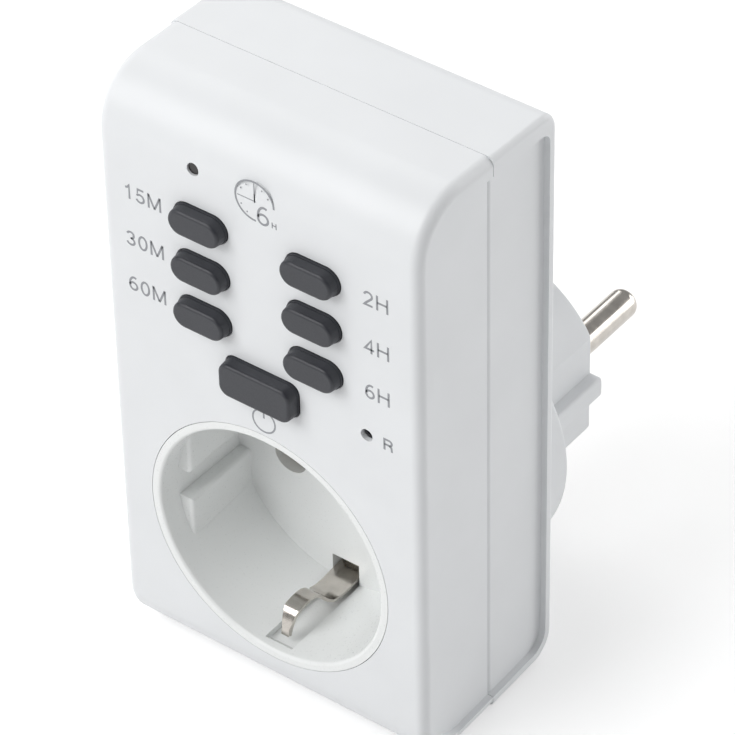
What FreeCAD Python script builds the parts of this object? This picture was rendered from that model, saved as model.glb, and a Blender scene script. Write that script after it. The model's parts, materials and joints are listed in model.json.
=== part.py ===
import FreeCAD, Part
import os
import Sketcher

# Plug-in countdown timer with a round earthed socket in front and an earthed plug behind.
# Millimetres. X to the right, Y into the wall, Z up. The origin is the centre of the plug's face,
# midway between the two pins, so the wall socket's face meets the part in the plane Y = 0.

doc = FreeCAD.newDocument("plug_in_timer")

DRIVING_SIZES = [
    ("front_y", -56.5, "front face of the housing"),
    ("seam_y", -39.85, "joint between the two shells"),
    ("back_y", -25.3, "back face of the housing"),
    ("flange_y", -17.65, "far face of the plug's flange"),
    ("half_width", 27.0, "half the width of the housing"),
    ("panel_half", 26.0, "half the width across the sunk side panels"),
    ("top_front_z", 71.2, "top of the housing, at its front face"),
    ("bottom_front_z", -29.3, "bottom of the housing, at its front face"),
    ("top_fall", 0.04, "how far top and bottom close in for each millimetre backwards"),
    ("top_round", 9.0, "radius of the front top edge"),
    ("bottom_round", 8.0, "radius of the front bottom edge"),
    ("back_top_round", 3.0, "radius of the back top edge"),
    ("back_bottom_round", 4.5, "radius of the back bottom edge"),
    ("front_side_round", 1.6, "radius round the sides of the front shell"),
    ("back_side_round", 0.9, "radius round the sides of the rear shell"),
    ("front_wall", 2.0, "thickness of the front and back walls"),
    ("edge_wall", 1.8, "thickness of the top and bottom walls"),
    ("cavity_half", 24.4, "half the width inside the shells"),
    ("seam_gap", 0.1, "width of the shadow line round the joint"),
    ("seam_depth", 0.6, "depth of the shadow line round the joint"),
    ("tongue_reach", 2.0, "how far the rear shell's tongue enters the front shell"),
    ("rim_front", 3.0, "rim in front of a side panel"),
    ("rim_top", 3.0, "rim above a side panel"),
    ("rim_bottom", 1.9, "rim below a side panel"),
    ("rim_back", 1.65, "rim behind a side panel"),
    ("panel_round", 0.75, "radius of the rear panel's edge at the joint"),
    ("recess_mouth", 19.5, "radius of the socket's mouth"),
    ("recess_floor", 19.1, "radius of the socket at its floor"),
    ("recess_depth", 17.5, "depth of the socket"),
    ("insert_radius", 20.9, "outside of the socket insert"),
    ("opening_radius", 21.0, "hole for the insert in the front shell"),
    ("floor_wall", 2.5, "thickness of the socket's floor"),
    ("pin_offset", 9.5, "distance of a pin from the middle"),
    ("aperture_radius", 2.9, "hole for a pin in the socket's floor"),
    ("rib_x", 16.95, "face of a guide rib"),
    ("rib_start", 3.9, "distance of the guide ribs from the mouth"),
    ("rib_top", 9.8, "height of a guide rib from the middle"),
    ("rib_slot", 2.5, "half the slot between two guide ribs"),
    ("rib_round", 0.6, "radius of a guide rib's edges"),
    ("clip_half", 2.2, "half the width of the earth strip"),
    ("strip_gauge", 0.5, "thickness of the sprung earth strip"),
    ("plate_gauge", 0.8, "thickness of straps and plates"),
    ("plug_radius", 18.05, "radius of the plug body"),
    ("flange_radius", 24.3, "radius of the flange behind the housing"),
    ("plug_flat", 15.95, "flat side of the plug body"),
    ("fin_half", 1.75, "half the height of the fin on a flat side"),
    ("pin_radius", 2.4, "radius of a plug pin"),
    ("pin_length", 19.0, "length of a pin beyond the plug's face"),
    ("neck_radius", 2.1, "radius of a pin inside the plug's face"),
    ("pin_sink_radius", 2.6, "shallow sink round a pin in the plug's face"),
    ("pin_sink_depth", 0.3, "depth of that sink"),
    ("shoulder_radius", 3.0, "radius of a pin's shoulder inside the plug"),
    ("plug_wall", 3.0, "thickness of the plug's face"),
    ("key_proud", 2.0, "how far a small key stands out of the front"),
    ("power_proud", 2.2, "how far the power key stands out of the front"),
    ("key_width", 8.58, "width of a small key, across its face"),
    ("key_height", 4.06, "height of a small key, across its face"),
    ("key_draft", 0.18, "how much a small key widens from its face to its collar"),
    ("key_collar", 0.1, "how far a small key's collar stands out all round"),
    ("power_draft", 0.1, "how much the power key widens from its face to its collar"),
    ("power_collar", 0.05, "how far the power key's collar stands out all round"),
    ("collar_proud", 0.4, "how far a key's collar stands out of the front"),
    ("key_gap", 0.12, "gap between a key and its opening"),
    ("key_left_x", -9.39, "middle of the left column of keys"),
    ("key_right_x", 9.54, "middle of the right column of keys"),
    ("key_top_z", 53.87, "middle of the top row of keys"),
    ("key_pitch", 8.03, "distance between two rows of keys"),
    ("power_x", 0.17, "middle of the power key, across"),
    ("power_z", 29.91, "middle of the power key, up"),
    ("power_width", 12.3, "width of the power key, across its face"),
    ("power_height", 5.56, "height of the power key, across its face"),
    ("led_x", -10.4, "indicator, across"),
    ("led_z", 62.4, "indicator, up"),
    ("reset_x", 17.9, "reset pinhole, across"),
    ("reset_z", 30.0, "reset pinhole, up"),
    ("pinhole_radius", 1.0, "radius of the two pinholes"),
    ("pinhole_skin", 0.8, "thickness of the wall at the reset pinhole"),
    ("board_gauge", 1.6, "thickness of a circuit board"),
    ("control_board_y", -46.9, "front of the control board"),
    ("power_board_y", -30.2, "front of the power board"),
    ("switch_body", 3.5, "height of a push switch without its plunger"),
    ("plunger_radius", 1.65, "radius of a switch plunger"),
    ("plunger_tip_y", -51.6, "front end of a switch plunger"),
    ("screw_x", 20.5, "housing screws, across"),
    ("screw_top_z", 64.5, "upper housing screws"),
    ("screw_bottom_z", -22.5, "lower housing screws"),
    ("boss_meet_y", -41.95, "where the screw bosses of the shells meet"),
]


class Size:
    """A number together with the spreadsheet expression that gives it."""

    def __init__(self, value, text):
        self.value = value
        self.text = text

    def __add__(self, other):
        other = as_size(other)
        return Size(self.value + other.value, "(%s + %s)" % (self.text, other.text))

    def __sub__(self, other):
        other = as_size(other)
        return Size(self.value - other.value, "(%s - %s)" % (self.text, other.text))

    def __mul__(self, other):
        other = as_size(other)
        return Size(self.value * other.value, "(%s * %s)" % (self.text, other.text))

    def __truediv__(self, other):
        other = as_size(other)
        return Size(self.value / other.value, "(%s / %s)" % (self.text, other.text))

    def __radd__(self, other):
        return as_size(other) + self

    def __rsub__(self, other):
        return as_size(other) - self

    def __rmul__(self, other):
        return as_size(other) * self

    def __neg__(self):
        return as_size(0.0) - self


def as_size(number):
    if isinstance(number, Size):
        return number
    if number < 0:
        return Size(float(number), "(0 - %.6f)" % -number)
    return Size(float(number), "%.6f" % number)


class Sheet:
    """The spreadsheet of driving sizes; each size is an attribute."""

    def __init__(self, rows):
        self.cells = doc.addObject("Spreadsheet::Sheet", "Sizes")
        for row, (alias, value, meaning) in enumerate(rows, 1):
            self.cells.set("A%d" % row, alias)
            self.cells.set("B%d" % row, str(value))
            self.cells.set("C%d" % row, meaning)
            self.cells.setAlias("B%d" % row, alias)
            setattr(self, alias, Size(value, "Sizes." + alias))


size = Sheet(DRIVING_SIZES)
doc.recompute()

nodes = []


def node(piece):
    """Mark a finished piece: its label names its file."""
    nodes.append(piece)
    return piece


def bind(piece, field, number):
    piece.setExpression(field, as_size(number).text)


# Simple solids, given by where they begin and end

def block(name, across, along, upward):
    """A box between two places on X, on Y and on Z."""
    piece = doc.addObject("Part::Box", name)
    sides = zip("xyz", ("Length", "Width", "Height"), (across, along, upward))
    for axis, side, (low, high) in sides:
        bind(piece, side, as_size(high) - low)
        bind(piece, "Placement.Base." + axis, low)
    return piece


AXIS_TURN = {
    "x": FreeCAD.Rotation(FreeCAD.Vector(0, 1, 0), 90),
    "y": FreeCAD.Rotation(FreeCAD.Vector(1, 0, 0), -90),
    "z": FreeCAD.Rotation(),
}


def place_on_axis(piece, axis, low, centre):
    piece.Placement = FreeCAD.Placement(FreeCAD.Vector(), AXIS_TURN[axis])
    others = [letter for letter in "xyz" if letter != axis]
    bind(piece, "Placement.Base." + axis, low)
    for letter, number in zip(others, centre):
        bind(piece, "Placement.Base." + letter, number)


def rod(name, radius, axis, span, centre):
    """A cylinder along an axis; centre holds its other two coordinates."""
    low, high = span
    piece = doc.addObject("Part::Cylinder", name)
    bind(piece, "Radius", radius)
    bind(piece, "Height", as_size(high) - low)
    place_on_axis(piece, axis, low, centre)
    return piece


def taper(name, radii, axis, span, centre):
    """A cone along an axis, with its radius at the low and at the high end."""
    low, high = span
    piece = doc.addObject("Part::Cone", name)
    bind(piece, "Radius1", radii[0])
    bind(piece, "Radius2", radii[1])
    bind(piece, "Height", as_size(high) - low)
    place_on_axis(piece, axis, low, centre)
    return piece


# Padded outlines, each a body of its own

PLANE_ROLES = {"x": "YZ_Plane", "y": "XZ_Plane", "z": "XY_Plane"}


def outline(name, axis, span, corners):
    """A body padded along an axis from a straight-sided outline in the other two."""
    low, high = (as_size(end) for end in span)
    body = doc.addObject("PartDesign::Body", name)
    plane = next(item for item in body.Origin.OriginFeatures if item.Role == PLANE_ROLES[axis])
    sketch = body.newObject("Sketcher::SketchObject", name + "_sketch")
    sketch.AttachmentSupport = (plane, "")
    sketch.MapMode = "FlatFace"
    # The XZ plane faces backwards, towards -Y, so its sketch lies at the high end.
    start = -high if axis == "y" else low
    bind(sketch, "AttachmentOffset.Base.z", start)
    corners = [(as_size(right), as_size(up)) for right, up in corners]
    points = [FreeCAD.Vector(right.value, up.value, 0) for right, up in corners]
    count = len(points)
    for index in range(count):
        following = points[(index + 1) % count]
        sketch.addGeometry(Part.LineSegment(points[index], following), False)
    for index in range(count):
        sketch.addConstraint(
            Sketcher.Constraint("Coincident", index, 2, (index + 1) % count, 1))
    for index, (right, up) in enumerate(corners):
        for kind, number in (("DistanceX", right), ("DistanceY", up)):
            row = sketch.addConstraint(
                Sketcher.Constraint(kind, -1, 1, index, 1, number.value))
            bind(sketch, "Constraints[%d]" % row, number)
    pad = body.newObject("PartDesign::Pad", name + "_pad")
    pad.Profile = sketch
    bind(pad, "Length", high - low)
    return body


def edges_where(shape, test):
    return [index for index, edge in enumerate(shape.Edges, 1) if test(edge.BoundBox)]


def near(one, other):
    return abs(one - as_size(other).value) < 0.01


def along_x(box):
    """True where an edge's box shows that it runs straight along X."""
    return box.XLength > 1.0 and box.YLength < 0.01 and box.ZLength < 0.01


def along_y(box):
    return box.YLength > 0.2 and box.XLength < 0.01 and box.ZLength < 0.01


def round_body(body, radius, test):
    """Round those edges of a body whose boxes pass the test."""
    doc.recompute()
    base = body.Tip
    fillet = body.newObject("PartDesign::Fillet", body.Name + "_round")
    fillet.Base = (base, ["Edge%d" % index for index in edges_where(base.Shape, test)])
    bind(fillet, "Radius", radius)
    body.Tip = fillet
    return body


def rounded(name, piece, radius, test):
    """A copy of a piece with those edges rounded whose boxes pass the test."""
    doc.recompute()
    fillet = doc.addObject("Part::Fillet", name)
    fillet.Base = piece
    radius = as_size(radius).value
    fillet.Edges = [(index, radius, radius) for index in edges_where(piece.Shape, test)]
    return fillet


# Joining and cutting

def fuse(name, pieces):
    piece = doc.addObject("Part::MultiFuse", name)
    piece.Shapes = pieces
    piece.Refine = True
    return piece


def cut(name, base, tools):
    tool = tools[0] if len(tools) == 1 else fuse(name + "_tool", tools)
    piece = doc.addObject("Part::Cut", name)
    piece.Base = base
    piece.Tool = tool
    piece.Refine = True
    return piece


def common(name, first, second):
    piece = doc.addObject("Part::Common", name)
    piece.Base = first
    piece.Tool = second
    return piece


def group(name, pieces):
    """Identical pieces that share a node as separate solids."""
    piece = doc.addObject("Part::Compound", name)
    piece.Links = pieces
    return piece


def both_sides(number):
    return (-as_size(number), as_size(number))


def ordered(one, other):
    """Two numbers as sizes, the lower first."""
    return sorted((as_size(one), as_size(other)), key=lambda number: number.value)


# Places that several pieces share

def top_at(y):
    return size.top_front_z - (y - size.front_y) * size.top_fall


def bottom_at(y):
    return size.bottom_front_z + (y - size.front_y) * size.top_fall


def side_view(y_low, y_high, below, above=None):
    """The housing's side outline between two depths, drawn in from below and from above."""
    y_low = as_size(y_low)
    y_high = as_size(y_high)
    above = below if above is None else above
    return [(y_low, bottom_at(y_low) + below), (y_high, bottom_at(y_high) + below),
            (y_high, top_at(y_high) - above), (y_low, top_at(y_low) - above)]


inner_front_y = size.front_y + size.front_wall
inner_back_y = size.back_y - size.front_wall
recess_floor_y = size.front_y + size.recess_depth
floor_back_y = recess_floor_y + size.floor_wall
shadow_y = size.seam_y - size.seam_gap
control_back_y = size.control_board_y + size.board_gauge
power_back_y = size.power_board_y + size.board_gauge
switch_front_y = size.control_board_y - size.switch_body

key_columns = {"left": size.key_left_x, "right": size.key_right_x}
key_places = {}
for column, names in (("left", ("15m", "30m", "60m")), ("right", ("2h", "4h", "6h"))):
    for row, name in enumerate(names):
        key_places[name] = (key_columns[column], size.key_top_z - size.key_pitch * row)

key_places["power"] = (size.power_x, size.power_z)

boss_places = [(side * size.screw_x, z)
               for side in (-1, 1) for z in (size.screw_bottom_z, size.screw_top_z)]
LUG_PLACES = [(-17.5, 17.5), (17.5, 17.5), (-21.2, -10.5), (21.2, -10.5)]
CONTROL_POST_PLACES = [(-19.0, 54.0), (19.0, 54.0), (-19.0, 27.5), (12.2, 26.6)]
POWER_POST_PLACES = [(-18.5, 53.0), (18.5, 53.0), (-18.5, 29.5), (18.5, 29.5)]
LUG_FRONT_Y = -50.5
LUG_GAUGE = 2.0
POST_PILOT = 1.0


# Key outlines, shared by the keys and by their openings in the front shell

def stadium(name, width, height, draft, span, centre):
    """A bar along Y with two half-round ends, which widens all round by a draft."""
    low, high = span
    x, z = centre
    half = as_size(height) / 2
    reach = as_size(width) / 2 - half
    corners = [(low, z - half), (high, z - half - draft), (high, z + half + draft),
               (low, z + half)]
    return fuse(name, [
        outline(name + "_bar", "x", (x - reach, x + reach), corners),
        taper(name + "_left", (half, half + draft), "y", span, (x - reach, z)),
        taper(name + "_right", (half, half + draft), "y", span, (x + reach, z))])


POWER_CORNER = 1.7


def rounded_bar(name, width, height, draft, span, centre):
    """A bar along Y with four rounded corners, which widens all round by a draft."""
    low, high = span
    x, z = centre
    bar = doc.addObject("Part::Wedge", name + "_bar")
    for letter, middle, full in (("X", x, width), ("Z", z, height)):
        half = as_size(full) / 2
        bind(bar, letter + "min", middle - half)
        bind(bar, letter + "max", middle + half)
        bind(bar, letter + "2min", middle - half - draft)
        bind(bar, letter + "2max", middle + half + draft)
    bind(bar, "Ymin", low)
    bind(bar, "Ymax", high)
    return rounded(name, bar, POWER_CORNER, lambda box: box.YLength > 0.2)


def key_outline(name, key, growth, draft, span):
    """A key's face, grown all round, as a bar along Y that widens by a draft."""
    if key == "power":
        return rounded_bar(name, size.power_width + growth * 2,
                           size.power_height + growth * 2, draft, span, key_places[key])
    return stadium(name, size.key_width + growth * 2, size.key_height + growth * 2, draft,
                   span, key_places[key])


def key_widening(key):
    """How much a key widens to its collar, and how far the collar stands out past that."""
    if key == "power":
        return size.power_draft, size.power_collar
    return size.key_draft, size.key_collar


# Front shell

def panel_cutter(name, span, y_rim, rounds, core_span, core_round=None):
    """What is taken off both sides to leave the sunk side panels.

    y_rim is the end that has a rim; rounds holds its lower and upper corner radius. What lies
    between the panels is left as a core, whose front edges may be rounded."""
    slab = outline(name + "_slab", "x", both_sides(size.half_width + 1.0),
                   side_view(*span, size.rim_bottom, size.rim_top))
    for radius, upper in zip(rounds, (False, True)):
        round_body(slab, radius, lambda box, upper=upper: along_x(box)
                   and near(box.YMin, y_rim) and (box.ZMin > 0) == upper)
    core = block(name + "_core", both_sides(size.panel_half), core_span,
                 (size.bottom_front_z - 5.0, size.top_front_z + 5.0))
    if core_round is not None:
        front = core_span[0]
        core = rounded(name + "_core_round", core, core_round,
                       lambda box: near(box.YMax, front) and box.ZLength > 1.0
                       and box.XLength < 0.01)
    return cut(name, slab, [core])


def make_front_shell():
    skin = outline("front_skin", "x", both_sides(size.half_width),
                   side_view(size.front_y, shadow_y, 0.0))
    round_body(skin, size.top_round, lambda box: along_x(box)
               and near(box.YMin, size.front_y) and box.ZMin > 0)
    round_body(skin, size.bottom_round, lambda box: along_x(box)
               and near(box.YMin, size.front_y) and box.ZMin < 0)
    round_body(skin, size.front_side_round, lambda box: box.XLength < 0.01
               and near(abs(box.XMin), size.half_width) and box.YMin < shadow_y.value - 0.1)
    lip = outline("front_lip", "x", both_sides(size.panel_half - size.seam_depth),
                  side_view(shadow_y - 1.0, size.seam_y, size.seam_depth))
    cavity = outline("front_cavity", "x", both_sides(size.cavity_half),
                     side_view(inner_front_y, size.seam_y + 1.0, size.edge_wall))
    round_body(cavity, size.top_round - size.edge_wall, lambda box: along_x(box)
               and near(box.YMin, inner_front_y) and box.ZMin > 0)
    round_body(cavity, size.bottom_round - 3.0, lambda box: along_x(box)
               and near(box.YMin, inner_front_y) and box.ZMin < 0)
    rim_y = size.front_y + size.rim_front
    panels = panel_cutter("front_panels", (rim_y, size.seam_y + 1.0), rim_y,
                          (size.bottom_round - 2.0, size.top_round - 2.0),
                          (size.front_y, size.back_y))
    through = (size.front_y - 1.0, inner_front_y + 1.0)
    openings = [rod("socket_opening", size.opening_radius, "y", through, (0, 0)),
                rod("led_hole", size.pinhole_radius, "y", through, (size.led_x, size.led_z)),
                rod("reset_hole", size.pinhole_radius, "y", through,
                    (size.reset_x, size.reset_z)),
                rod("reset_well", 2.0, "y",
                    (size.front_y + size.pinhole_skin, inner_front_y + 1.0),
                    (size.reset_x, size.reset_z))]
    for key in key_places:
        draft, collar = key_widening(key)
        openings.append(key_outline("opening_" + key, key, draft + collar + size.key_gap,
                                    as_size(0.0), through))
    walls = cut("front_walls", fuse("front_blank", [skin, lip]), [cavity, panels] + openings)
    inner = inner_front_y - 0.5
    bosses = [rod("front_boss_%d" % index, 3.4, "y", (inner, size.boss_meet_y), place)
              for index, place in enumerate(boss_places)]
    bosses += [rod("lug_post_%d" % index, 2.4, "y", (inner, LUG_FRONT_Y), place)
               for index, place in enumerate(LUG_PLACES)]
    bosses += [rod("board_post_%d" % index, 2.1, "y", (inner, size.control_board_y), place)
               for index, place in enumerate(CONTROL_POST_PLACES)]
    pilots = [rod("front_pilot_%d" % index, 1.4, "y", (inner_front_y + 3.0, size.seam_y), place)
              for index, place in enumerate(boss_places)]
    small_posts = LUG_PLACES + CONTROL_POST_PLACES
    pilots += [rod("small_pilot_%d" % index, POST_PILOT, "y",
                   (inner_front_y + 0.4, size.control_board_y), place)
               for index, place in enumerate(small_posts)]
    # The upper posts stand under the rounded top, so they end where the skin does.
    posts = common("front_posts", fuse("front_bosses", bosses), skin)
    node(cut("front_shell", fuse("front_body", [walls, posts]), pilots))


# Plug base: the plug body and its flange, set into a round hole in the rear shell

SLOT_HALF = 2.5
NOTCH_HALF = 3.3
NOTCH_Z = 15.4
SPIGOT_RADIUS = 22.4


def make_plug_round():
    """The plug body: a round bar with flat sides, a fin on each, and two earth notches."""
    bar = rod("plug_bar", size.plug_radius, "y", (size.flange_y - 1.0, 0.0), (0, 0))
    reach = size.plug_radius + 1.0
    slabs = []
    for side in (-1, 1):
        for end in (-1, 1):
            across = ordered(side * size.plug_flat, side * reach)
            upward = ordered(end * size.fin_half, end * reach)
            slabs.append(block("side_slab_%d_%d" % (side + 1, end + 1), across,
                               (size.flange_y, 1.0), upward))
    for end in (-1, 1):
        upward = ordered(end * NOTCH_Z, end * reach)
        slabs.append(block("earth_notch_%d" % (end + 1), both_sides(NOTCH_HALF),
                           (size.flange_y, 1.0), upward))
    shaped = cut("plug_shaped", bar, slabs)
    softened = rounded("plug_softened", shaped, 0.6, lambda box: along_y(box)
                       and near(abs(box.ZMin), size.fin_half)
                       and abs(box.XMin) > size.plug_flat.value + 0.5)
    return rounded("plug_round", softened, 0.5,
                   lambda box: near(box.YMin, 0.0) and near(box.YMax, 0.0))


def make_plug_base():
    flange_inner_y = size.flange_y - 2.0
    flange_bar = rod("flange_bar", size.flange_radius, "y", (size.back_y, size.flange_y), (0, 0))
    flange = rounded("flange", flange_bar, 0.6, lambda box: near(box.YMin, size.flange_y))
    spigot = rod("spigot", SPIGOT_RADIUS, "y", (inner_back_y, size.back_y + 1.0), (0, 0))
    hollows = [rod("flange_hollow", 21.0, "y", (inner_back_y - 1.0, flange_inner_y), (0, 0)),
               rod("plug_hollow", 14.0, "y",
                   (flange_inner_y - 1.0, -size.plug_wall), (0, 0))]
    for name, side in (("left", -1), ("right", 1)):
        centre = (side * size.pin_offset, 0)
        hollows.append(rod("pin_way_" + name, size.neck_radius, "y",
                           (-size.plug_wall - 1.0, 1.0), centre))
        hollows.append(rod("pin_sink_" + name, size.pin_sink_radius, "y",
                           (-size.pin_sink_depth, 1.0), centre))
    for end in (-1, 1):
        hollows.append(block("earth_slot_%d" % (end + 1), both_sides(SLOT_HALF),
                             (flange_inner_y - 1.0, size.flange_y + 1.0),
                             ordered(end * NOTCH_Z, end * (NOTCH_Z + 1.1))))
    blank = fuse("plug_blank", [flange, spigot, make_plug_round()])
    node(cut("plug_base", blank, hollows))


# Rear shell

def make_rear_shell():
    skin = outline("rear_skin", "x", both_sides(size.half_width),
                   side_view(size.seam_y, size.back_y, 0.0))
    round_body(skin, size.back_top_round, lambda box: along_x(box)
               and near(box.YMax, size.back_y) and box.ZMin > 0)
    round_body(skin, size.back_bottom_round, lambda box: along_x(box)
               and near(box.YMax, size.back_y) and box.ZMin < 0)
    round_body(skin, size.back_side_round, lambda box: box.XLength < 0.01
               and near(abs(box.XMin), size.half_width) and box.YMax > size.seam_y.value + 0.1)
    cavity = outline("rear_cavity", "x", both_sides(size.cavity_half),
                     side_view(size.seam_y - 1.0, inner_back_y, size.edge_wall))
    rim_y = size.back_y - size.rim_back
    panels = panel_cutter("rear_panels", (size.seam_y - 1.0, rim_y), rim_y,
                          (size.back_bottom_round - 1.2, size.back_top_round - 1.2),
                          (size.seam_y, size.back_y), size.panel_round)
    plug_way = rod("plug_way", SPIGOT_RADIUS, "y",
                   (inner_back_y - 1.0, size.back_y + 1.0), (0, 0))
    walls = cut("rear_walls", skin, [cavity, panels, plug_way])
    tongue_half = size.cavity_half - 1.1
    tongue_tip = outline("tongue_tip", "x", both_sides(size.cavity_half - 0.1),
                         side_view(size.seam_y - size.tongue_reach, size.seam_y + 0.5,
                                   size.edge_wall + 0.1))
    tongue_root = outline("tongue_root", "x", both_sides(size.cavity_half + 0.3),
                          side_view(size.seam_y, size.seam_y + 2.5, size.edge_wall - 0.3))
    tongue_hollow = outline("tongue_hollow", "x", both_sides(tongue_half),
                            side_view(size.seam_y - 3.0, size.seam_y + 3.0,
                                      size.edge_wall + 1.1))
    tongue = cut("tongue", fuse("tongue_blank", [tongue_tip, tongue_root]), [tongue_hollow])
    bosses = [rod("rear_boss_%d" % index, 3.6, "y",
                  (size.boss_meet_y, inner_back_y + 0.5), place)
              for index, place in enumerate(boss_places)]
    bosses += [rod("power_post_%d" % index, 2.4, "y", (power_back_y, inner_back_y + 0.5), place)
               for index, place in enumerate(POWER_POST_PLACES)]
    holes = []
    for index, place in enumerate(boss_places):
        holes.append(rod("screw_way_%d" % index, 1.7, "y",
                         (size.boss_meet_y - 1.0, size.back_y), place))
        holes.append(rod("screw_sink_%d" % index, 2.9, "y",
                         (size.back_y - 3.5, size.back_y + 1.0), place))
    for index, place in enumerate(POWER_POST_PLACES):
        holes.append(rod("power_pilot_%d" % index, POST_PILOT, "y",
                         (power_back_y - 1.0, inner_back_y + 0.8), place))
    node(cut("rear_shell", fuse("rear_body", [walls, tongue] + bosses), holes))


# Socket insert: the cup that a plug goes into

CLIP_OPENING_HALF = 2.4
CLIP_OPENING_INNER_Z = 15.1
CLIP_OPENING_OUTER_Z = 20.4
CLIP_OPENING_LENGTH = 5.8


def make_socket_insert():
    cup = rod("cup", size.insert_radius, "y", (size.front_y, floor_back_y), (0, 0))
    collar = rod("cup_collar", 22.6, "y", (LUG_FRONT_Y, LUG_FRONT_Y + LUG_GAUGE), (0, 0))
    lugs = [rod("lug_%d" % index, 2.8, "y", (LUG_FRONT_Y, LUG_FRONT_Y + LUG_GAUGE), place)
            for index, place in enumerate(LUG_PLACES)]
    recess = taper("recess", (size.recess_mouth, size.recess_floor), "y",
                   (size.front_y, recess_floor_y), (0, 0))
    hollow_cup = cut("hollow_cup", fuse("cup_blank", [cup, collar] + lugs), [recess])
    rib_blocks = []
    for side in (-1, 1):
        for end in (-1, 1):
            across = ordered(side * size.rib_x, side * size.insert_radius)
            upward = ordered(end * size.rib_slot, end * size.rib_top)
            name = "rib_block_%d_%d" % (side + 1, end + 1)
            rib = block(name, across,
                        (size.front_y + size.rib_start, recess_floor_y + 0.5), upward)
            rib_blocks.append(rounded(name + "_round", rib, size.rib_round,
                                      lambda box: box.XLength < 0.01
                                      and near(abs(box.XMin), size.rib_x)
                                      and box.YMin < recess_floor_y.value))
    rib_limit = rod("rib_limit", size.insert_radius - 0.5, "y",
                    (size.front_y, recess_floor_y + 0.5), (0, 0))
    ribs = common("ribs", fuse("rib_blocks", rib_blocks), rib_limit)
    ways = [rod("aperture_" + name, size.aperture_radius, "y",
                (recess_floor_y - 1.0, floor_back_y + 1.0), (side * size.pin_offset, 0))
            for name, side in (("left", -1), ("right", 1))]
    for end in (-1, 1):
        upward = ordered(end * CLIP_OPENING_INNER_Z, end * CLIP_OPENING_OUTER_Z)
        ways.append(block("clip_opening_%d" % (end + 1), both_sides(CLIP_OPENING_HALF),
                          (recess_floor_y - CLIP_OPENING_LENGTH, floor_back_y + 1.0), upward))
        channel_start = recess_floor_y - CLIP_OPENING_LENGTH + 0.5
        ramp_start = size.front_y + 2.6
        ways.append(outline("clip_channel_%d" % (end + 1), "x", both_sides(CLIP_OPENING_HALF),
                            [(channel_start, end * 17.5),
                             (channel_start, end * CLIP_OPENING_OUTER_Z),
                             (ramp_start, end * CLIP_OPENING_OUTER_Z),
                             (ramp_start - 1.4, end * 19.2),
                             (ramp_start - 1.4, end * 17.5)]))
    for index, place in enumerate(LUG_PLACES):
        ways.append(rod("lug_way_%d" % index, 1.2, "y",
                        (LUG_FRONT_Y - 1.0, LUG_FRONT_Y + LUG_GAUGE + 1.0), place))
    shaped = cut("insert_shaped", fuse("ribbed_cup", [hollow_cup, ribs]), ways)
    node(rounded("socket_insert", shaped, 0.5, lambda box: near(box.YMin, size.front_y)
                 and near(box.YMax, size.front_y)
                 and box.XLength < 2 * size.recess_mouth.value + 0.1))


# Keys and the plungers of their switches

FLANGE_GROWTH = 1.0
FLANGE_GAUGE = 1.0
CAP_ROUND = 0.5


def make_key(key):
    front = size.front_y - (size.power_proud if key == "power" else size.key_proud)
    step = size.front_y - size.collar_proud
    flange_front = inner_front_y + 0.3
    flange_back = flange_front + FLANGE_GAUGE
    draft, collar = key_widening(key)
    cap_bar = key_outline("cap_bar_" + key, key, as_size(0.0), draft, (front, step))
    cap = rounded("cap_" + key, cap_bar, CAP_ROUND,
                  lambda box: near(box.YMin, front) and near(box.YMax, front))
    foot = key_outline("foot_" + key, key, draft + collar, as_size(0.0),
                       (step, flange_front))
    flange = key_outline("key_flange_" + key, key, as_size(FLANGE_GROWTH), as_size(0.0),
                         (flange_front, flange_back))
    stem = rod("stem_" + key, 1.5, "y", (flange_back, size.plunger_tip_y), key_places[key])
    node(fuse("button_" + key, [cap, foot, flange, stem]))


def make_plunger(name, tip_y, place):
    inner_end = switch_front_y + 0.4
    node(rod(name, size.plunger_radius, "y", (tip_y, inner_end), place))


def make_switches():
    places = dict(key_places)
    places["reset"] = (size.reset_x, size.reset_z)
    bodies = []
    for key, (x, z) in places.items():
        body = block("switch_block_" + key, (x - 3.0, x + 3.0),
                     (switch_front_y, size.control_board_y), (z - 3.0, z + 3.0))
        bore = rod("switch_bore_" + key, size.plunger_radius + 0.1, "y",
                   (switch_front_y - 1.0, switch_front_y + 1.3), (x, z))
        bodies.append(cut("switch_body_" + key, body, [bore]))
        tip = size.plunger_tip_y - 1.2 if key == "reset" else size.plunger_tip_y
        make_plunger("reset_plunger" if key == "reset" else "plunger_" + key, tip, (x, z))
    node(group("tact_switch_bodies", bodies))


# Circuit boards and what they carry

def small_screws(name, places, head_y, head_gauge, shank_y):
    """Pan-head screws along Y; the shank may run either way from the head."""
    screws = []
    for index, place in enumerate(places):
        head_end = as_size(head_y) + head_gauge
        head_span = ordered(head_y, head_end)
        shank_span = ordered(head_y, shank_y)
        slot_span = ordered(head_end - head_gauge / 2, head_end)
        x, z = place
        head = rod("%s_head_%d" % (name, index), 2.0, "y", head_span, place)
        shank = rod("%s_shank_%d" % (name, index), POST_PILOT, "y", shank_span, place)
        slot = block("%s_slot_%d" % (name, index), (x - 1.5, x + 1.5), slot_span,
                     (z - 0.25, z + 0.25))
        screws.append(cut("%s_%d" % (name, index),
                          fuse("%s_blank_%d" % (name, index), [head, shank]), [slot]))
    return node(group(name, screws))


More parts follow.
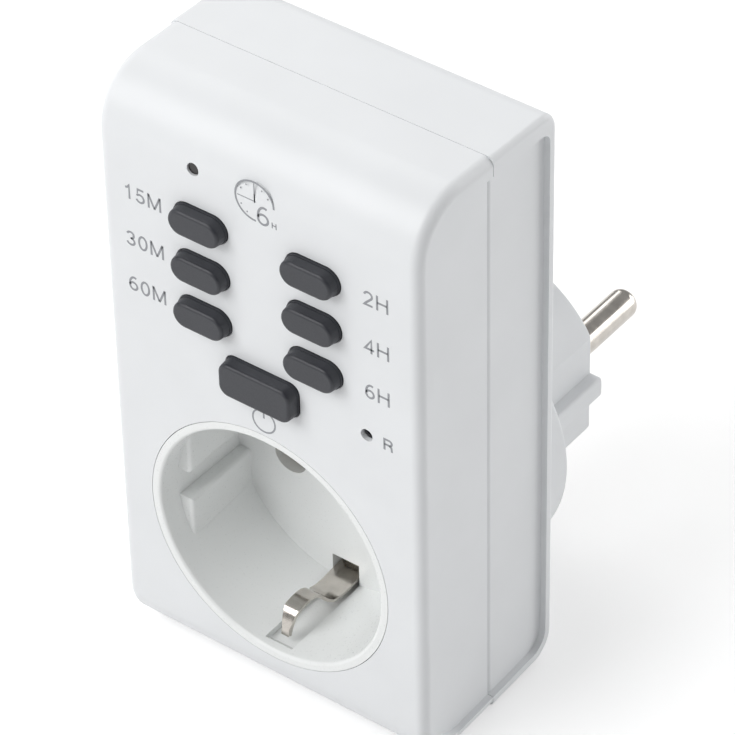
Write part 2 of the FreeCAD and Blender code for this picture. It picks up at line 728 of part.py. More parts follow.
def make_board(name, front_y, bottom_z, top_z, hole_places):
    shoulder_z = 58.0
    corners = [(-21.5, bottom_z), (21.5, bottom_z), (21.5, shoulder_z), (16.6, shoulder_z),
               (16.6, top_z), (-16.6, top_z), (-16.6, shoulder_z), (-21.5, shoulder_z)]
    sheet = outline(name + "_sheet", "y", (front_y, front_y + size.board_gauge), corners)
    holes = [rod("%s_hole_%d" % (name, index), 1.2, "y",
                 (front_y - 1.0, front_y + size.board_gauge + 1.0), place)
             for index, place in enumerate(hole_places)]
    node(cut(name, sheet, holes))


def make_control_board():
    make_board("control_board", size.control_board_y, 24.2, 67.0, CONTROL_POST_PLACES)
    small_screws("control_board_screws", CONTROL_POST_PLACES, control_back_y, 1.2,
                 inner_front_y + 1.0)
    small_screws("insert_screws", LUG_PLACES, LUG_FRONT_Y + LUG_GAUGE, 1.2,
                 inner_front_y + 1.0)
    front = size.control_board_y
    x, z = size.led_x, size.led_z
    lens = rod("led_lens", size.pinhole_radius - 0.1, "y",
               (size.front_y + 0.3, inner_front_y + 2.0), (x, z))
    foot = rod("led_foot", 1.4, "y", (inner_front_y + 2.0, inner_front_y + 3.2), (x, z))
    legs = [block("led_leg_%d" % index, (x + shift - 0.25, x + shift + 0.25),
                  (inner_front_y + 3.0, front), (z - 0.25, z + 0.25))
            for index, shift in enumerate((-0.8, 0.8))]
    node(fuse("led_indicator", [lens, foot] + legs))
    node(block("timer_chip", (-2.4, 2.8), (front - 1.6, front), (40.5, 50.5)))
    node(rod("quartz_crystal", 1.5, "z", (52.5, 60.0), (0.2, front - 1.5)))
    resistors = []
    for index in range(8):
        x = -12.0 + 8.0 * (index % 4)
        z = 34.0 if index < 4 else 49.0
        resistors.append(block("resistor_%d" % index, (x - 1.0, x + 1.0),
                               (control_back_y, control_back_y + 0.5), (z - 0.6, z + 0.6)))
    node(group("smd_resistors", resistors))


def make_board_header():
    pins = [block("header_pin_%d" % index, (x - 0.32, x + 0.32),
                  (control_back_y, size.power_board_y), (27.68, 28.32))
            for index, x in enumerate(-1.0 + 2.54 * step for step in range(5))]
    strip = block("header_bar", (-2.3, 10.5), (size.power_board_y - 2.5, size.power_board_y),
                  (26.7, 29.3))
    node(cut("header_strip", strip, pins))
    node(group("header_pins", pins))


def make_power_board():
    make_board("power_board", size.power_board_y, 26.0, 66.0, POWER_POST_PLACES)
    small_screws("power_board_screws", POWER_POST_PLACES, size.power_board_y, -1.2,
                 inner_back_y + 0.6)
    front = size.power_board_y
    node(block("film_capacitor", (7.5, 13.5), (front - 12.0, front), (46.0, 59.0)))
    can = rod("capacitor_can", 4.0, "y", (front - 12.0, front), (12.0, 37.5))
    node(rounded("electrolytic_capacitor", can, 0.5, lambda box: near(box.YMax, front - 12.0)))
    node(rod("varistor", 4.5, "x", (-18.2, -14.8), (front - 4.5, 36.5)))
    node(rod("safety_resistor", 1.8, "z", (31.0, 41.0), (-9.5, front - 1.8)))
    diodes = [rod("diode_%d" % index, 1.25, "x", (-4.0, 1.5), (front - 1.25, 31.0 + 3.2 * index))
              for index in range(4)]
    node(group("rectifier_diodes", diodes))


# Relay on the power board

RELAY_LEFT = -16.0
RELAY_RIGHT = 4.0
RELAY_LOW = 45.0
RELAY_HIGH = 61.0
RELAY_HEIGHT = 13.4
RELAY_BASE = 1.5
RELAY_WALL = 0.8
COIL_Z = 51.0
YOKE_Z = 56.2


def make_relay():
    board = size.power_board_y
    base_front = board - RELAY_BASE
    top = board - RELAY_HEIGHT
    across = (RELAY_LEFT, RELAY_RIGHT)
    upward = (RELAY_LOW, RELAY_HIGH)
    node(block("relay_base", across, (base_front, board), upward))
    shell = block("relay_shell", across, (top, base_front), upward)
    room = block("relay_room", (RELAY_LEFT + RELAY_WALL, RELAY_RIGHT - RELAY_WALL),
                 (top + RELAY_WALL, base_front + 1.0),
                 (RELAY_LOW + RELAY_WALL, RELAY_HIGH - RELAY_WALL))
    node(cut("relay_cover", shell, [room]))
    coil_y = base_front - 5.4
    core = rod("relay_core", 1.6, "x", (-14.0, -2.2), (coil_y, COIL_Z))
    winding = rod("relay_winding", 4.2, "x", (-13.0, -3.2), (coil_y, COIL_Z))
    core_way = rod("relay_core_way", 1.6, "x", (-14.0, -2.2), (coil_y, COIL_Z))
    node(cut("relay_coil", winding, [core_way]))
    depth = (coil_y - 3.4, coil_y + 3.4)
    back_plate = block("yoke_back", (-14.8, -14.0), depth, (46.6, YOKE_Z + 0.8))
    top_plate = block("yoke_top", (-14.8, -2.2), depth, (YOKE_Z, YOKE_Z + 0.8))
    foot = block("yoke_foot", (-14.8, -10.8), (coil_y + 3.4, base_front),
                 (YOKE_Z, YOKE_Z + 0.8))
    node(fuse("relay_yoke", [back_plate, top_plate, foot, core]))
    node(block("relay_armature", (-1.6, -0.8), (coil_y - 3.0, coil_y + 3.0), (46.9, YOKE_Z)))
    contacts = [block("contact_blade_%d" % index, (1.4, 1.8), (base_front - 9.0, base_front),
                      (low, low + 2.4)) for index, low in enumerate((47.5, 53.0))]
    node(group("relay_contacts", contacts))


# Current-carrying metal

def make_pins_and_contacts():
    for name, side in (("left", -1), ("right", 1)):
        centre = (side * size.pin_offset, 0)
        shank = rod("pin_shank_" + name, size.pin_radius, "y", (0.0, size.pin_length), centre)
        neck = rod("pin_neck_" + name, size.neck_radius, "y",
                   (-size.plug_wall - 0.5, 0.5), centre)
        tip_round = rounded("pin_tip_" + name, shank, 1.7,
                            lambda box: near(box.YMin, size.pin_length))
        shoulder = rod("pin_shoulder_" + name, size.shoulder_radius, "y",
                       (-12.0, -size.plug_wall), centre)
        node(fuse("plug_pin_" + name, [tip_round, neck, shoulder]))
        sleeve = rod("sleeve_" + name, 3.0, "y", (floor_back_y + 0.2, -19.6), centre)
        sleeve_bore = rod("sleeve_bore_" + name, 2.35, "y", (floor_back_y, -21.0), centre)
        x = side * size.pin_offset
        slit = block("sleeve_slit_" + name, (x - 0.4, x + 0.4), (floor_back_y, -27.0),
                     (-4.0, 4.0))
        node(cut("socket_contact_" + name, sleeve, [sleeve_bore, slit]))


def make_links():
    outer = size.pin_offset + size.shoulder_radius
    node(block("neutral_link", (outer, outer + size.plate_gauge), (-26.0, -6.0), (-2.2, 2.2)))
    board_edge_z = 26.0
    half_gauge = size.plate_gauge / 2
    over_pin = (-size.pin_offset - half_gauge, -size.pin_offset + half_gauge)
    shoulder = size.shoulder_radius
    node(outline("line_in_link", "x", over_pin,
                 [(-6.5, shoulder), (-6.5, 8.0), (-28.8, 8.0), (-28.8, board_edge_z),
                  (-31.0, board_edge_z), (-31.0, 4.6), (-11.5, 4.6), (-11.5, shoulder)]))
    inner = -size.pin_offset + size.shoulder_radius
    node(outline("line_out_link", "x", (inner, inner + size.plate_gauge),
                 [(-35.5, -2.0), (-32.0, -2.0), (-32.0, 23.0), (-28.8, 23.0),
                  (-28.8, board_edge_z), (-35.5, board_edge_z)]))


# Sprung earth strips, bent along smooth lines in the middle plane

SOCKET_CLIP_LINE = [(-35.9, -17.9), (-40.0, -17.9), (-44.4, -17.8), (-45.6, -17.2),
                    (-47.0, -15.6), (-48.2, -15.0), (-50.6, -14.95), (-51.8, -15.3),
                    (-52.6, -16.4), (-53.2, -18.0), (-53.4, -19.0)]
PLUG_CLIP_LINE = [(-19.9, -15.95), (-16.5, -15.95), (-11.0, -16.3), (-6.0, -16.7),
                  (-2.0, -15.95)]
# How the socket's clips narrow towards the front: (y, half the width)
SOCKET_CLIP_TAPER = [(-55.0, 0.65), (-53.4, 0.65), (-53.0, 0.9), (-52.3, 1.1),
                     (-51.6, 1.3), (-46.4, 1.3), (-44.8, 2.2), (-35.0, 2.2)]
PLUG_CLIP_TAPER = [(-21.0, 2.2), (-4.0, 2.2), (-1.0, 1.6)]


def bent_strip(line, half_width, gauge, end):
    """A strip of a given gauge swept along a line of (y, z) points; end flips it upwards."""
    points = [FreeCAD.Vector(0, y, -end * z) for y, z in line]
    curve = Part.BSplineCurve()
    curve.interpolate(points)
    path = Part.Wire(curve.toShape())
    tangent = curve.tangent(curve.FirstParameter)[0]
    across = FreeCAD.Vector(half_width, 0, 0)
    normal = tangent.cross(FreeCAD.Vector(1, 0, 0)) * (gauge / 2)
    start = points[0]
    corners = [start - across - normal, start + across - normal,
               start + across + normal, start - across + normal]
    section = Part.makePolygon(corners + [corners[0]])
    return path.makePipeShell([section], True, False)


def earth_bracket(name, plate_low_y, line, widths):
    """A cross plate with a sprung strip at each end; widths says how the strips narrow."""
    gauge = size.plate_gauge.value
    half = size.clip_half.value
    reach = abs(line[0][1]) + size.strip_gauge.value / 2
    shape = Part.makeBox(2 * half, gauge, 2 * reach, FreeCAD.Vector(-half, plate_low_y, -reach))
    height = size.insert_radius.value
    rim = [FreeCAD.Vector(x, y, -height) for y, x in widths]
    rim += [FreeCAD.Vector(-x, y, -height) for y, x in reversed(widths)]
    blank = Part.Face(Part.makePolygon(rim + [rim[0]])).extrude(FreeCAD.Vector(0, 0, 2 * height))
    for end in (-1, 1):
        strip = bent_strip(line, half, size.strip_gauge.value, end)
        shape = shape.fuse(strip.common(blank))
    piece = doc.addObject("Part::Feature", name)
    piece.Shape = shape.removeSplitter()
    piece.Placement = FreeCAD.Placement()
    node(piece)


def make_earth():
    gauge = size.plate_gauge.value
    socket_plate_y = floor_back_y.value + 0.2
    plug_plate_y = size.flange_y.value - 2.0 - gauge
    earth_bracket("socket_earth_bracket", socket_plate_y, SOCKET_CLIP_LINE, SOCKET_CLIP_TAPER)
    earth_bracket("plug_earth_bracket", plug_plate_y, PLUG_CLIP_LINE, PLUG_CLIP_TAPER)
    node(rod("earth_link", 1.8, "y", (socket_plate_y + gauge, plug_plate_y), (0, 0)))


def make_housing_screws():
    head_y = size.back_y - 3.5
    screws = []
    for index, place in enumerate(boss_places):
        x, z = place
        head = rod("housing_head_%d" % index, 2.7, "y", (head_y, head_y + 2.0), place)
        shank = rod("housing_shank_%d" % index, 1.4, "y", (inner_front_y + 6.0, head_y), place)
        slots = [block("drive_flat_%d" % index, (x - 1.6, x + 1.6),
                       (head_y + 1.0, head_y + 2.0), (z - 0.35, z + 0.35)),
                 block("drive_upright_%d" % index, (x - 0.35, x + 0.35),
                       (head_y + 1.0, head_y + 2.0), (z - 1.6, z + 1.6))]
        screws.append(cut("housing_screw_%d" % index,
                          fuse("housing_blank_%d" % index, [head, shank]), slots))
    node(group("housing_screws", screws))


def check_document():
    """Stop if any object failed, or if a node has no valid solid."""
    for thing in doc.Objects:
        if "Invalid" in thing.State or "Error" in thing.State:
            raise RuntimeError("%s failed: %s" % (thing.Label, thing.State))
    for piece in nodes:
        shape = piece.Shape
        if shape.isNull() or not shape.isValid() or not shape.Solids:
            raise RuntimeError("%s has no valid solid" % piece.Label)


make_front_shell()
make_plug_base()
make_rear_shell()
make_socket_insert()
for key_name in key_places:
    make_key(key_name)
make_switches()
make_control_board()
make_board_header()
make_power_board()
make_relay()
make_pins_and_contacts()
make_links()
make_earth()
make_housing_screws()

doc.recompute()
check_document()

os.makedirs("parts", exist_ok=True)
for piece in nodes:
    piece.Shape.exportStep("parts/%s.step" % piece.Label)
    print("%-24s solids %d  volume %.1f" % (piece.Label, len(piece.Shape.Solids),
                                            piece.Shape.Volume))
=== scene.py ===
import json
import math

import bmesh
import bpy
from mathutils import Matrix, Vector


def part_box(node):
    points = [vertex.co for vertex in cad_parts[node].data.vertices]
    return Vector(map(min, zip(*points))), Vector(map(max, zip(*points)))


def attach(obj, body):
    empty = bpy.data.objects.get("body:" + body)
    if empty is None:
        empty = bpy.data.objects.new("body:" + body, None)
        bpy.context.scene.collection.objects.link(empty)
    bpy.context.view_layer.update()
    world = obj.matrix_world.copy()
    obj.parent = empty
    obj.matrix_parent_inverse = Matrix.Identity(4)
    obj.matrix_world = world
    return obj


# The looks of a plug-in countdown timer. Metres; X to the right, Y into the wall, Z up.

MM = 0.001
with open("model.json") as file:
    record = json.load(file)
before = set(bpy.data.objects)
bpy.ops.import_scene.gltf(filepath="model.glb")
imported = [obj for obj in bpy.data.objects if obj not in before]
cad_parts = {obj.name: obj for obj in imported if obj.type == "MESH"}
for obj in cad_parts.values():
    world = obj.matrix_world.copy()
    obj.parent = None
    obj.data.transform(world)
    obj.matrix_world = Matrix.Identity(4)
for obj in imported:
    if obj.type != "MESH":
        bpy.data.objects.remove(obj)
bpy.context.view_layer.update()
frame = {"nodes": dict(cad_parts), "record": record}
nodes = frame["nodes"]
scene = bpy.context.scene

FRONT_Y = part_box("front_shell")[0].y
FLOOR_Z = min(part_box("front_shell")[0].z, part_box("rear_shell")[0].z)


# Materials

# Most of a noise's values lie between these
NOISE_RANGE = (0.3, 0.7)


class Nodes:
    """A material's node tree, with short ways to add what the surfaces here need."""

    def __init__(self, name):
        self.material = bpy.data.materials.new(name)
        self.material.use_nodes = True
        self.tree = self.material.node_tree
        self.shader = self.tree.nodes["Principled BSDF"]
        self.coordinates = self.add("ShaderNodeTexCoord").outputs["Object"]

    def add(self, kind, **settings):
        made = self.tree.nodes.new(kind)
        for name, value in settings.items():
            setattr(made, name, value)
        return made

    def link(self, source, target):
        self.tree.links.new(source, target)

    def stretched(self, stretch):
        """Object coordinates in millimetres, squeezed along some axes."""
        mapping = self.add("ShaderNodeMapping")
        mapping.inputs["Scale"].default_value = [1000 * s for s in stretch]
        self.link(self.coordinates, mapping.inputs["Vector"])
        return mapping.outputs["Vector"]

    def noise(self, scale, detail=3.0, stretch=(1, 1, 1)):
        """Noise with so many cells per millimetre."""
        made = self.add("ShaderNodeTexNoise")
        made.inputs["Scale"].default_value = scale
        made.inputs["Detail"].default_value = detail
        self.link(self.stretched(stretch), made.inputs["Vector"])
        return made.outputs["Fac"]

    def spread(self, source, low, high):
        """A noise's factor mapped to a range."""
        made = self.add("ShaderNodeMapRange")
        values = (*NOISE_RANGE, low, high)
        for name, value in zip(("From Min", "From Max", "To Min", "To Max"), values):
            made.inputs[name].default_value = value
        self.link(source, made.inputs["Value"])
        return made.outputs["Result"]

    def blend(self, factor, one, other):
        """Two colours mixed by a factor; each is a colour or an output."""
        made = self.add("ShaderNodeMix", data_type="RGBA")
        self.link(factor, made.inputs["Factor"])
        for socket, value in zip((made.inputs[6], made.inputs[7]), (one, other)):
            if isinstance(value, tuple):
                socket.default_value = (*value, 1.0)
            else:
                self.link(value, socket)
        return made.outputs[2]

    def bump(self, *layers):
        """Bump from (height, distance in millimetres, strength) layers, one over the other."""
        normal = None
        for height, distance, strength in layers:
            made = self.add("ShaderNodeBump")
            made.inputs["Distance"].default_value = distance * MM
            made.inputs["Strength"].default_value = strength
            self.link(height, made.inputs["Height"])
            if normal is not None:
                self.link(normal, made.inputs["Normal"])
            normal = made.outputs["Normal"]
        self.link(normal, self.shader.inputs["Normal"])

    def surface(self, colour=None, roughness=None, **constants):
        for name, value in (("Base Color", colour), ("Roughness", roughness)):
            if value is not None:
                self.link(value, self.shader.inputs[name])
        for name, value in constants.items():
            self.shader.inputs[name.replace("_", " ")].default_value = value
        return self.material


def scaled(colour, factor):
    return tuple(min(1.0, channel * factor) for channel in colour)


def moulded(name, colour, roughness, grain=3.0, depth=0.01, shade=0.97, **constants):
    """Moulded plastic: faint flow clouds in its colour, a fine spark-eroded grain."""
    made = Nodes(name)
    clouds = made.noise(scale=0.08, detail=2.0)
    fine = made.noise(grain, detail=4.0)
    tint = made.blend(made.spread(clouds, 0.0, 1.0), colour, scaled(colour, shade))
    rough = made.spread(fine, roughness[0], roughness[1])
    waves = made.noise(scale=0.25, detail=1.0)
    made.bump((waves, 0.02, 0.15), (fine, depth, 0.5))
    return made.surface(tint, rough, **constants)


def metal(name, colour, roughness, stretch=(1, 1, 1), grain=2.0, depth=0.004, stain=0.8):
    """Metal: drawn or rolled streaks, and faint stains where it has dulled."""
    made = Nodes(name)
    streaks = made.noise(grain, detail=5.0, stretch=stretch)
    stains = made.noise(scale=0.5)
    tint = made.blend(made.spread(stains, 0.0, 1.0), colour, scaled(colour, stain))
    rough = made.spread(streaks, roughness[0], roughness[1])
    made.bump((streaks, depth, 0.6))
    return made.surface(tint, rough, Metallic=1.0)


def circuit_board(name):
    """Green lacquer over copper tracks, which stand up a little."""
    made = Nodes(name)
    tracks = made.add("ShaderNodeTexBrick")
    tracks.inputs["Scale"].default_value = 0.25
    tracks.inputs["Mortar Size"].default_value = 0.035
    made.link(made.stretched((1, 1, 1)), tracks.inputs["Vector"])
    line = tracks.outputs["Fac"]
    tint = made.blend(line, (0.02, 0.11, 0.045), (0.06, 0.21, 0.08))
    made.bump((line, 0.03, 0.6), (made.noise(scale=3.0), 0.005, 0.4))
    return made.surface(tint, made.spread(made.noise(scale=0.6), 0.22, 0.4))


WHITE = (0.80, 0.815, 0.83)
INSERT_WHITE = (0.86, 0.875, 0.87)

looks = {
    "housing_plastic": moulded("housing_plastic", WHITE, (0.36, 0.48), IOR=1.5),
    "insert_plastic": moulded("insert_plastic", INSERT_WHITE, (0.26, 0.36), depth=0.005),
    "key_plastic": moulded("key_plastic", (0.031, 0.033, 0.041), (0.38, 0.50), grain=5.0,
                           depth=0.012, shade=0.88),
    "nickel_plate": metal("nickel_plate", (0.62, 0.585, 0.54), (0.12, 0.26), (1, 0.06, 1)),
    "contact_brass": metal("contact_brass", (0.78, 0.56, 0.26), (0.22, 0.4), (1, 0.1, 1)),
    "screw_steel": metal("screw_steel", (0.6, 0.6, 0.62), (0.25, 0.42), grain=4.0),
    "circuit_board": circuit_board("circuit_board"),
    "component_black": moulded("component_black", (0.03, 0.03, 0.032), (0.45, 0.6)),
    "switch_plunger": moulded("switch_plunger", (0.055, 0.055, 0.06), (0.4, 0.55)),
    "led_lens": moulded("led_lens", (0.012, 0.010, 0.011), (0.15, 0.25), depth=0.002),
    "crystal_can": metal("crystal_can", (0.78, 0.78, 0.8), (0.12, 0.24), (1, 1, 0.08)),
    "resistor_body": moulded("resistor_body", (0.30, 0.42, 0.38), (0.3, 0.45), shade=0.8),
    "film_case": moulded("film_case", (0.70, 0.50, 0.06), (0.25, 0.38)),
    "can_sleeve": moulded("can_sleeve", (0.03, 0.035, 0.08), (0.2, 0.3), depth=0.004),
    "varistor_lacquer": moulded("varistor_lacquer", (0.03, 0.10, 0.34), (0.2, 0.34)),
    "relay_case": moulded("relay_case", (0.04, 0.08, 0.18), (0.18, 0.3), depth=0.004),
    "copper_wire": metal("copper_wire", (0.72, 0.33, 0.16), (0.2, 0.34), (3, 0.2, 0.2)),
    "soft_iron": metal("soft_iron", (0.55, 0.55, 0.57), (0.3, 0.5), grain=3.0),
}
ink = moulded("printed_ink", (0.30, 0.31, 0.33), (0.5, 0.6), grain=8.0, depth=0.002)

for subpart in frame["record"]["subparts"]:
    piece = nodes[subpart["node"]]
    piece.data.materials.clear()
    piece.data.materials.append(looks[subpart["material_slot"]])


# Printed marks: strokes of ink on the front face

INK_HEIGHT = 0.02 * MM
CAP = 2.45 * MM
STROKE = 0.33 * MM
# How far a sharp corner's point may reach out; the lower, the further
MITRE_LIMIT = 0.15


def arc(centre, radii, start, end, steps):
    """Points on an arc, in degrees; radii may differ across and up."""
    turns = [math.radians(start + (end - start) * k / steps) for k in range(steps + 1)]
    return [(centre[0] + radii[0] * math.cos(t), centre[1] + radii[1] * math.sin(t))
            for t in turns]


# Each sign's strokes, on a height of 1, and its width
SIGNS = {
    "0": (0.66, [arc((0.33, 0.5), (0.27, 0.445), 90, 450, 32)]),
    "1": (0.62, [[(0.11, 0.74), (0.25, 0.77), (0.38, 0.95), (0.38, 0.0)]]),
    "2": (0.66, [arc((0.33, 0.70), (0.26, 0.245), 170, -38, 18)
                 + [(0.19, 0.20), (0.08, 0.06), (0.62, 0.06)]]),
    "3": (0.66, [arc((0.32, 0.73), (0.235, 0.215), 165, -90, 18),
                 arc((0.32, 0.285), (0.265, 0.23), 90, -165, 20)]),
    "4": (0.68, [[(0.50, 0.0), (0.50, 0.92), (0.07, 0.27), (0.68, 0.27)]]),
    "5": (0.66, [[(0.59, 0.94), (0.18, 0.94), (0.11, 0.47)]
                 + arc((0.32, 0.325), (0.27, 0.265), 140, -160, 24)]),
    "6": (0.66, [arc((0.34, 0.315), (0.26, 0.255), 180, 540, 28),
                 arc((0.41, 0.42), (0.33, 0.525), 185, 65, 16)]),
    "M": (0.96, [[(0.07, 0.0), (0.07, 1.0)], [(0.89, 0.0), (0.89, 1.0)],
                 [(0.09, 0.95), (0.48, 0.05)], [(0.87, 0.95), (0.48, 0.05)]]),
    "H": (0.82, [[(0.07, 0.0), (0.07, 1.0)], [(0.75, 0.0), (0.75, 1.0)],
                 [(0.07, 0.52), (0.75, 0.52)]]),
    "R": (0.80, [[(0.07, 0.0), (0.07, 0.94), (0.44, 0.94)]
                 + arc((0.46, 0.725), (0.23, 0.215), 90, -90, 14) + [(0.07, 0.51)],
                 [(0.46, 0.50), (0.66, 0.38), (0.70, 0.0)]]),
}
# Between signs, on the same height of 1
GAP = 0.2


def mitre(before, point, after, half):
    """Where the left side of a stroke turns at a point: its offset from that point."""
    steps = [(b[0] - a[0], b[1] - a[1]) for a, b in ((before, point), (point, after))
             if math.dist(a, b) > 0]
    normals = [(-z / math.hypot(x, z), x / math.hypot(x, z)) for x, z in steps]
    across, up = (sum(parts) / len(normals) for parts in zip(*normals))
    length = across ** 2 + up ** 2
    reach = half / max(length, MITRE_LIMIT)
    return across * reach, up * reach


def ribbon(shape, points, width):
    """A flat stroke with mitred corners, as thick as the ink."""
    closed = len(points) > 3 and math.dist(points[0], points[-1]) < 1e-7
    if closed:
        points = points[:-1]
    count = len(points)
    rows = []
    for index, (x, z) in enumerate(points):
        before = points[index - 1] if closed or index > 0 else points[index]
        after = points[(index + 1) % count] if closed or index < count - 1 else points[index]
        across, up = mitre(before, (x, z), after, width / 2)
        rows.append([shape.verts.new((x + side * across, y, z + side * up))
                     for side, y in ((1, FRONT_Y), (1, FRONT_Y - INK_HEIGHT),
                                     (-1, FRONT_Y - INK_HEIGHT), (-1, FRONT_Y))])
    pairs = list(zip(rows, rows[1:]))
    if closed:
        pairs.append((rows[-1], rows[0]))
    else:
        shape.faces.new(rows[0])
        shape.faces.new(rows[-1][::-1])
    for one, other in pairs:
        for k in range(4):
            shape.faces.new((one[k], other[k], other[(k + 1) % 4], one[(k + 1) % 4]))


def printed(name, strokes):
    """Strokes of ink on the front: each is its points (x, z), in metres, and its width."""
    shape = bmesh.new()
    for points, width in strokes:
        ribbon(shape, points, width)
    bmesh.ops.recalc_face_normals(shape, faces=shape.faces)
    mesh = bpy.data.meshes.new(name)
    shape.to_mesh(mesh)
    shape.free()
    mesh.materials.append(ink)
    made = bpy.data.objects.new(name, mesh)
    scene.collection.objects.link(made)
    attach(made, "housing")
    return made


def lettering(text, left, baseline, height=CAP, stroke=STROKE):
    """The strokes of a short text, its lower left corner at (left, baseline)."""
    strokes = []
    for sign in text:
        width, lines = SIGNS[sign]
        for line in lines:
            points = [(left + x * height, baseline + z * height) for x, z in line]
            strokes.append((points, stroke))
        left += (width + GAP) * height
    return strokes


# Each label, its left edge and its baseline, in millimetres
LABELS = [
    ("15M", -22.75, 52.35), ("30M", -22.85, 44.2), ("60M", -22.9, 36.25),
    ("2H", 17.85, 52.8), ("4H", 17.8, 44.75), ("6H", 17.8, 36.8),
]
for text, left, baseline in LABELS:
    printed("label_" + text.lower(), lettering(text, left * MM, baseline * MM))
printed("label_r", lettering("R", 20.75 * MM, 29.0 * MM, height=2.0 * MM))

CLOCK = (0.05 * MM, 61.8 * MM)
CLOCK_RADIUS = 3.22 * MM
CLOCK_LINE = 0.29 * MM
# The ring runs from the right over the top and stops at the numeral
CLOCK_RING_END = 272
HOUR_MARKS = (30, 60, 120, 150, 210, 240)
# Each hand's turn, its tail behind the centre, its reach and its width, in millimetres
CLOCK_HANDS = ((90, 0.25, 3.0, 0.17), (180, 0.25, 2.9, 0.15), (90, 0.2, 1.2, 0.2))


def spoke(centre, turn, inner, outer):
    """A straight stroke that points away from a centre, its turn in degrees from the right."""
    across, up = math.cos(math.radians(turn)), math.sin(math.radians(turn))
    return [(centre[0] + across * reach, centre[1] + up * reach) for reach in (inner, outer)]


clock_strokes = [(arc(CLOCK, (CLOCK_RADIUS, CLOCK_RADIUS), 0, CLOCK_RING_END, 60), CLOCK_LINE)]
for turn in HOUR_MARKS:
    clock_strokes.append((spoke(CLOCK, turn, 2.5 * MM, 2.75 * MM), 0.2 * MM))
for turn, tail, reach, width in CLOCK_HANDS:
    clock_strokes.append((spoke(CLOCK, turn, -tail * MM, reach * MM), width * MM))
clock_strokes += lettering("6", 0.3 * MM, 58.3 * MM, height=3.2 * MM, stroke=0.36 * MM)
clock_strokes += lettering("H", 2.85 * MM, 58.6 * MM, height=0.95 * MM, stroke=0.17 * MM)
printed("clock_sign", clock_strokes)

POWER = (0.12 * MM, 23.6 * MM)
POWER_RADIUS = 1.93 * MM
POWER_LINE = 0.27 * MM
# Half the gap at the ring's top, in degrees
POWER_GAP = 32
printed("power_sign", [
    (arc(POWER, (POWER_RADIUS, POWER_RADIUS), 90 + POWER_GAP, 450 - POWER_GAP, 48), POWER_LINE),
    (spoke(POWER, 90, 0.5 * MM, 2.3 * MM), POWER_LINE)])


# Floor, sky and lamps

def calculate(tree, operation, *values):
    """A math node's output; each value is a number or another output."""
    made = tree.nodes.new("ShaderNodeMath")
    made.operation = operation
    for socket, value in zip(made.inputs, values):
        if isinstance(value, float):
            socket.default_value = value
        else:
            tree.links.new(value, socket)
    return made.outputs[0]


def towards(turn, height):
    """A direction from the object, in degrees: turn from straight in front towards the right,
    height up from level."""
    bearing, rise = math.radians(turn), math.radians(height)
    return Vector((math.sin(bearing) * math.cos(rise), -math.cos(bearing) * math.cos(rise),
                   math.sin(rise)))


FLOOR_HALF = 1.6
FLOOR_COLOUR = (0.82, 0.82, 0.82)
FLOOR_LIFT = 0.36


def camera_white(name, colour, lift):
    """A pale matt surface that looks a little brighter to the camera and in reflections."""
    made = Nodes(name)
    grain = made.spread(made.noise(scale=0.5), 0.0, 1.0)
    made.surface(made.blend(grain, colour, scaled(colour, 0.99)), Roughness=0.9)
    rays = made.add("ShaderNodeLightPath").outputs
    seen = calculate(made.tree, "MAXIMUM", rays["Is Camera Ray"], rays["Is Glossy Ray"])
    seen = calculate(made.tree, "MAXIMUM", seen, rays["Is Transmission Ray"])
    glow = made.add("ShaderNodeEmission")
    made.link(calculate(made.tree, "MULTIPLY", seen, lift), glow.inputs["Strength"])
    total = made.add("ShaderNodeAddShader")
    made.link(made.shader.outputs[0], total.inputs[0])
    made.link(glow.outputs[0], total.inputs[1])
    made.link(total.outputs[0], made.tree.nodes["Material Output"].inputs["Surface"])
    return made.material


def pale_floor():
    """The sheet of paper that the object stands on."""
    shape = bmesh.new()
    bmesh.ops.create_grid(shape, x_segments=8, y_segments=8, size=FLOOR_HALF)
    mesh = bpy.data.meshes.new("floor")
    shape.to_mesh(mesh)
    shape.free()
    mesh.materials.append(camera_white("floor_paper", FLOOR_COLOUR, FLOOR_LIFT))
    floor = bpy.data.objects.new("floor", mesh)
    floor.location = (0, 0, FLOOR_Z)
    scene.collection.objects.link(floor)
    return floor


floor = pale_floor()

SKY_LEVEL = 0.39
# In reflections the studio is darker to the right in front, where no white wall stands
DARK_TURN = 45
DARK_HEIGHT = 25
DARK_EDGE = 0.5
DARK_SHARE = 0.9


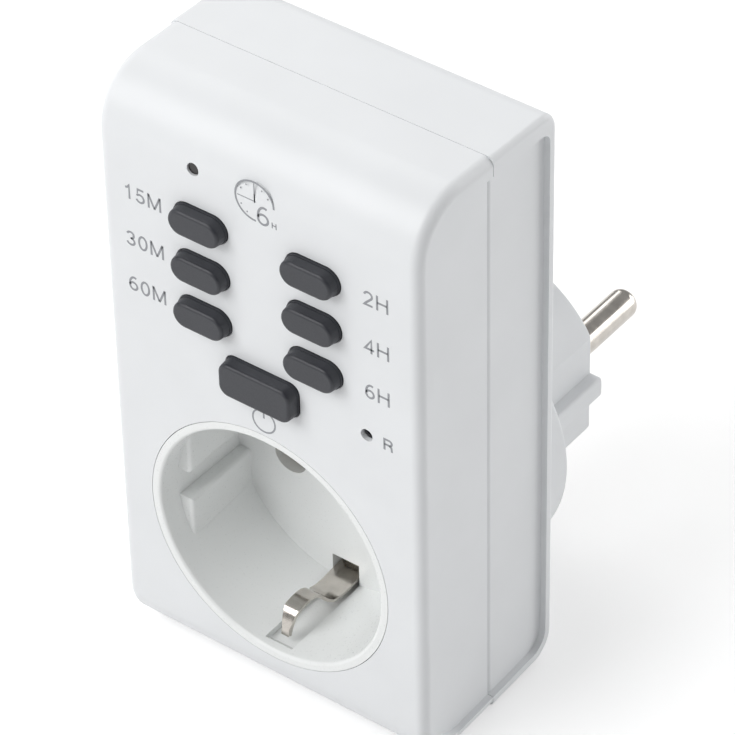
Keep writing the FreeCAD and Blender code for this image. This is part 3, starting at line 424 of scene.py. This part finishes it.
def studio_sky():
    """An even sky, white to the camera, with the dark side that reflections show."""
    world = bpy.data.worlds.new("studio")
    world.use_nodes = True
    sky = world.node_tree
    rays = sky.nodes.new("ShaderNodeLightPath").outputs
    direction = sky.nodes.new("ShaderNodeTexCoord").outputs["Generated"]
    nearness = sky.nodes.new("ShaderNodeVectorMath")
    nearness.operation = "DOT_PRODUCT"
    nearness.inputs[1].default_value = towards(DARK_TURN, DARK_HEIGHT)
    sky.links.new(direction, nearness.inputs[0])
    dark = sky.nodes.new("ShaderNodeMapRange")
    dark.interpolation_type = "SMOOTHSTEP"
    dark.inputs["From Min"].default_value = DARK_EDGE
    dark.inputs["To Max"].default_value = DARK_SHARE
    sky.links.new(nearness.outputs["Value"], dark.inputs["Value"])
    reflected = calculate(sky, "MULTIPLY", dark.outputs["Result"], rays["Is Glossy Ray"])
    light = calculate(sky, "MULTIPLY_ADD", reflected, -SKY_LEVEL, SKY_LEVEL)
    seen = calculate(sky, "MAXIMUM", rays["Is Camera Ray"], rays["Is Transmission Ray"])
    level = sky.nodes.new("ShaderNodeMapRange")
    sky.links.new(light, level.inputs["To Min"])
    sky.links.new(seen, level.inputs["Value"])
    background = sky.nodes["Background"]
    sky.links.new(level.outputs["Result"], background.inputs["Strength"])
    background.inputs["Color"].default_value = (1.0, 1.0, 1.0, 1.0)
    return world


scene.world = studio_sky()

LAMP_TARGET = Vector((0, -40 * MM, 20 * MM))
LAMP_DISTANCE = 1.3
LAMP_WIDTH = 0.9


def softbox(name, turn, height, level):
    """A large lamp that faces the object, at a turn and height as in towards(). A level of 1
    lights a surface that faces the lamp as it is coloured."""
    data = bpy.data.lights.new(name, "AREA")
    data.shape = "SQUARE"
    data.size = LAMP_WIDTH
    data.energy = level * math.pi ** 2 * LAMP_DISTANCE ** 2
    lamp = bpy.data.objects.new(name, data)
    away = towards(turn, height)
    lamp.location = LAMP_TARGET + away * LAMP_DISTANCE
    lamp.rotation_euler = (-away).to_track_quat("-Z", "Y").to_euler()
    scene.collection.objects.link(lamp)


softbox("key_light", turn=-30, height=39, level=0.65)
softbox("left_light", turn=-120, height=40, level=0.353)
softbox("back_light", turn=150, height=10, level=0.505)


# Camera at the photograph's place, solved from the socket's and the housing's sizes

CAMERA_PLACE = Vector((307.89, -431.04, 438.06)) * MM
CAMERA_RIGHT = Vector((0.79969432, 0.60016214, -0.01715792))
CAMERA_DOWN = Vector((0.37462495, -0.5210985, -0.76688494))
CAMERA_AHEAD = Vector((-0.46919627, 0.60684575, -0.64155522))
SENSOR = 36.0
LENS = 227.284

camera_data = bpy.data.cameras.new("camera")
camera_data.sensor_width = SENSOR
camera_data.lens = LENS
camera_data.clip_start = 0.05
camera_data.clip_end = 20.0
camera = bpy.data.objects.new("camera", camera_data)
camera_turn = Matrix((CAMERA_RIGHT, -CAMERA_DOWN, -CAMERA_AHEAD)).transposed()
camera.matrix_world = Matrix.Translation(CAMERA_PLACE) @ camera_turn.to_4x4()
scene.collection.objects.link(camera)
scene.camera = camera
scene.view_settings.view_transform = "Standard"
